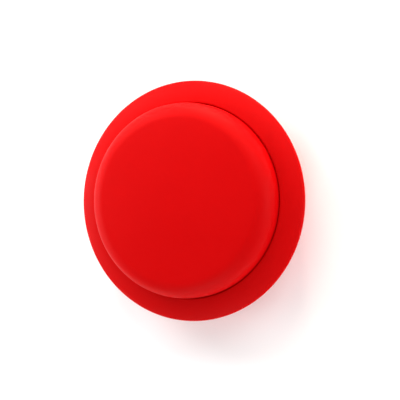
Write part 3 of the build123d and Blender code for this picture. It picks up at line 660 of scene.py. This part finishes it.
# a coil up the Z axis: a flat turn at each end that lies on itself, and open turns between
def addCoil(bm, radius, wire, height, turns, steps, sides):
    section = Matrix.Translation((radius * mm, 0, wire / 2 * mm)) @ Matrix.Rotation(math.pi / 2, 4, "X")
    made = bmesh.ops.create_circle(bm, cap_ends=True, segments=sides, radius=wire / 2 * mm,
                                   matrix=section)
    wireEnd = made["verts"][0].link_faces[0]
    end = [wireEnd] + list(wireEnd.edges) + made["verts"]
    for turn, rise in ((1, wire), (turns - 2, height - 3 * wire), (1, wire)):
        count = round(turn * steps)
        made = bmesh.ops.spin(bm, geom=end, cent=(0, 0, 0), axis=(0, 0, 1), angle=turn * math.tau,
                              steps=count, dvec=(0, 0, rise * mm / count))
        end = made["geom_last"]


# stiff wire between chassis and cap, which shortens as the button goes down
def makeReturnSprings():
    look = springShape
    for n, (x, y) in enumerate(ringPlaces(look["ring"], look["angles"]), 1):
        node = f"return_spring_{n}"
        low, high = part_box(node)
        bm = bmesh.new()
        addCoil(bm, look["meanRadius"], look["wire"], (high.z - low.z) / mm, look["turns"],
                look["steps"], look["wireSides"])
        bmesh.ops.translate(bm, verts=bm.verts, vec=(x * mm, y * mm, low.z))
        coil = meshObject(f"spring_coil_{n}", bm)
        spring = dressPiece(coil, springWire, "base", [node])
        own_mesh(spring)


# conical wire at the flat end of each cell, wide on the contact and narrow on the cell
def makeContactSprings():
    look = contactShape
    for n in (1, 2):
        node = f"contact_spring_{n}"
        low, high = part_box(node)
        length = high.x - low.x
        bm = bmesh.new()
        addCoil(bm, look["wideRadius"], look["wire"], length / mm, look["turns"], look["steps"],
                look["wireSides"])
        for v in bm.verts:
            narrowing = 1 - (1 - look["narrowRadius"] / look["wideRadius"]) * v.co.z / length
            v.co.x *= narrowing
            v.co.y *= narrowing
        inwards = 1 if low.x < 0 else -1
        foot = Vector((low.x if low.x < 0 else high.x, (low.y + high.y) / 2, (low.z + high.z) / 2))
        bmesh.ops.transform(bm, verts=bm.verts, matrix=(
            Matrix.Translation(foot) @ Matrix.Rotation(inwards * math.pi / 2, 4, "Y")))
        dressPiece(meshObject(f"contact_cone_{n}", bm), springWire, "base", [node])


domeShape = {"radius": 5.2, "hub": 2.6, "hubThickness": 1.4, "wall": 0.6, "foot": 0.6, "footWidth": 1.8,
             "dimple": 0.15, "dimpleRadius": 1.6, "edge": 0.25, "steps": 64}


# a moulded dome whose thin skirt buckles and lets the pill down on the board
def makeDome():
    look = domeShape
    low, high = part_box("switch_dome")
    board = low.z / mm
    top = high.z / mm
    hubLow = top - look["hubThickness"]
    footInner = look["radius"] - look["footWidth"]
    bm = bmesh.new()
    drawProfile(bm, (0, top - look["dimple"]), [
        (look["dimpleRadius"], top - look["dimple"]), (look["dimpleRadius"] + look["edge"], top),
        (look["hub"] - look["edge"], top), (look["hub"], top - look["edge"]), (look["hub"], hubLow),
        (look["radius"] - look["wall"], board + look["foot"]), (look["radius"], board + look["foot"]),
        (look["radius"], board), (footInner, board), (look["hub"] - look["wall"], hubLow), (0, hubLow)])
    spinRound(bm, look["steps"])
    dome = dressPiece(meshObject("silicone_dome", bm), silicone, "base", ["switch_dome"])
    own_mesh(dome)


# soleFacing is how squarely a face must look down to be part of the tread
footShape = {"halfAngle": 16, "steps": 32, "treadInset": 0.16, "treadDepth": 0.35, "soleFacing": 0.9}


# four curved strips let into the base, with a tread of small pits underneath
def makeFeet():
    look = footShape
    for n, angle in enumerate(quarterTurns, 1):
        node = f"rubber_foot_{n}"
        low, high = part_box("rubber_foot_1")
        outer = high.x
        inner = low.x / math.cos(math.radians(look["halfAngle"]))
        bm = bmesh.new()
        middle = Matrix.Translation(((inner + outer) / 2, 0, (low.z + high.z) / 2))
        spread = Matrix.Diagonal((outer - inner, high.z - low.z, 1, 1))
        section = middle @ Matrix.Rotation(math.pi / 2, 4, "X") @ spread
        bmesh.ops.create_grid(bm, x_segments=1, y_segments=1, size=0.5, matrix=section)
        bmesh.ops.rotate(bm, verts=bm.verts, cent=(0, 0, 0),
                         matrix=Matrix.Rotation(math.radians(angle - look["halfAngle"]), 3, "Z"))
        bmesh.ops.spin(bm, geom=bm.verts[:] + bm.edges[:] + bm.faces[:], cent=(0, 0, 0), axis=(0, 0, 1),
                       angle=math.radians(2 * look["halfAngle"]), steps=look["steps"])
        bmesh.ops.recalc_face_normals(bm, faces=bm.faces)
        bm.normal_update()
        soles = [f for f in bm.faces if f.normal.z < -look["soleFacing"]]
        bmesh.ops.inset_individual(bm, faces=soles, thickness=look["treadInset"] * mm)
        pits = [v for f in soles for v in f.verts]
        bmesh.ops.translate(bm, verts=list(set(pits)), vec=(0, 0, look["treadDepth"] * mm))
        dressPiece(meshObject(f"foot_strip_{n}", bm), footRubber, "base", [node])


makeReturnSprings()
makeContactSprings()
makeDome()
makeFeet()
print("springs, dome and feet are made")
